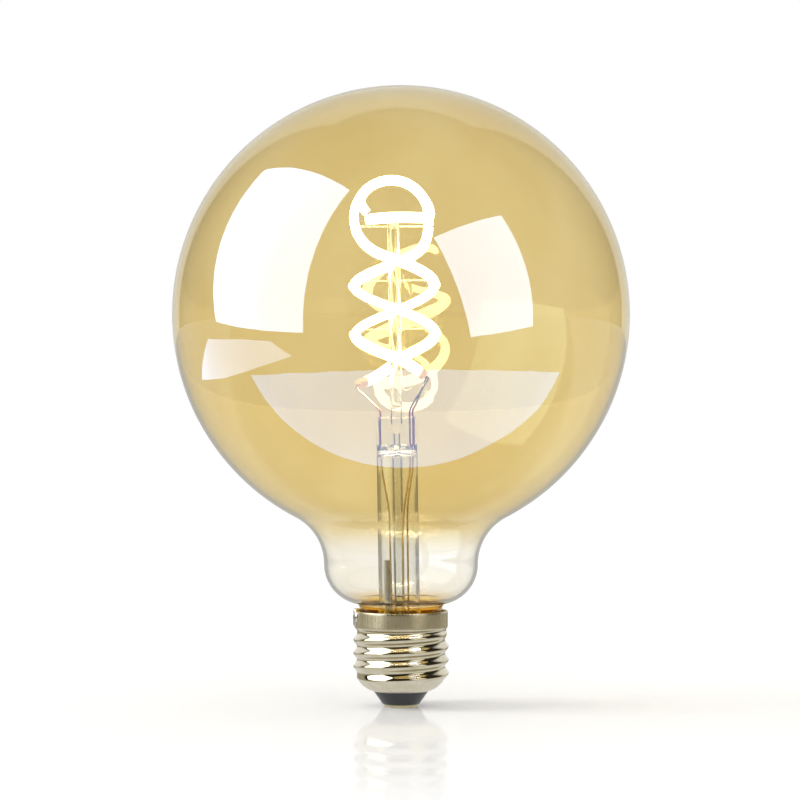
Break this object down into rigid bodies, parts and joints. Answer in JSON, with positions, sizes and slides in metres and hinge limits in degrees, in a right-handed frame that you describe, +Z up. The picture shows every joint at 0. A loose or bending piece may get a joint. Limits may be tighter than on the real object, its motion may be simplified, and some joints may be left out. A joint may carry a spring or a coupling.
{
  "type": "smart filament lamp",
  "caption": "Large amber glass globe lamp on an E27 screw cap, with a double spiral LED filament and a radio driver inside the cap.",
  "frame": {"origin": "middle of the centre contact's face, at the foot of the screw cap", "axes": "+Z up the lamp's axis from the cap to the crown of the globe; -Y is the front"},
  "size_m": [0.125, 0.125, 0.1696],
  "materials": {
    "amber_glass": "clear amber coating on blown glass",
    "clear_glass": "clear",
    "nickel_plate": "nickel plated",
    "black_glass": "gloss black vitrite",
    "brass": "bright",
    "solder": "tin solder",
    "tinned_wire": "tinned",
    "cement": "baked capping cement",
    "phosphor": "phosphor silicone",
    "nickel_wire": "drawn",
    "dumet": "borated copper sheath",
    "copper": "enamelled",
    "circuit_board": "solder mask",
    "black_plastic": "moulded",
    "white_plastic": "moulded",
    "capacitor_sleeve": "shrink sleeve",
    "film_box": "moulded",
    "resistor_coat": "flameproof lacquer",
    "tin_can": "tin plate",
    "white_insulation": "extruded"
  },
  "bodies": {
    "root": {"globe_glass": "amber_glass", "cap_shell": "nickel_plate", "cap_insulator": "black_glass", "centre_contact": "brass", "contact_pin": "brass", "cap_cement": "cement", "side_wire": "tinned_wire", "side_solder": "solder", "stem_tube": "clear_glass", "exhaust_tube": "clear_glass", "support_pillar": "clear_glass", "pillar_anchors": "nickel_wire", "ribbon_left": "phosphor", "ribbon_right": "phosphor", "foot_tab_common": "brass", "foot_tab_warm": "brass", "foot_tab_cool": "brass", "top_joint": "brass", "hook_wire_low_left": "nickel_wire", "hook_wire_low_right": "nickel_wire", "hook_wire_mid_left": "nickel_wire", "hook_wire_mid_right": "nickel_wire", "hook_wire_top_left": "nickel_wire", "hook_wire_top_right": "nickel_wire", "inner_lead_common": "nickel_wire", "inner_lead_warm": "nickel_wire", "inner_lead_cool": "nickel_wire", "dumet_seal_common": "dumet", "dumet_seal_warm": "dumet", "dumet_seal_cool": "dumet", "outer_lead_common": "copper", "outer_lead_warm": "copper", "outer_lead_cool": "copper", "insulating_sleeve": "white_plastic", "driver_board": "circuit_board", "bulk_capacitor": "capacitor_sleeve", "power_inductor": "copper", "film_capacitor": "film_box", "bridge_rectifier": "black_plastic", "fusible_resistor": "resistor_coat", "centre_wire": "tinned_wire", "driver_chip": "black_plastic", "radio_board": "circuit_board", "radio_shield": "tin_can", "antenna_wire": "white_insulation"}
  },
  "joints": []
}
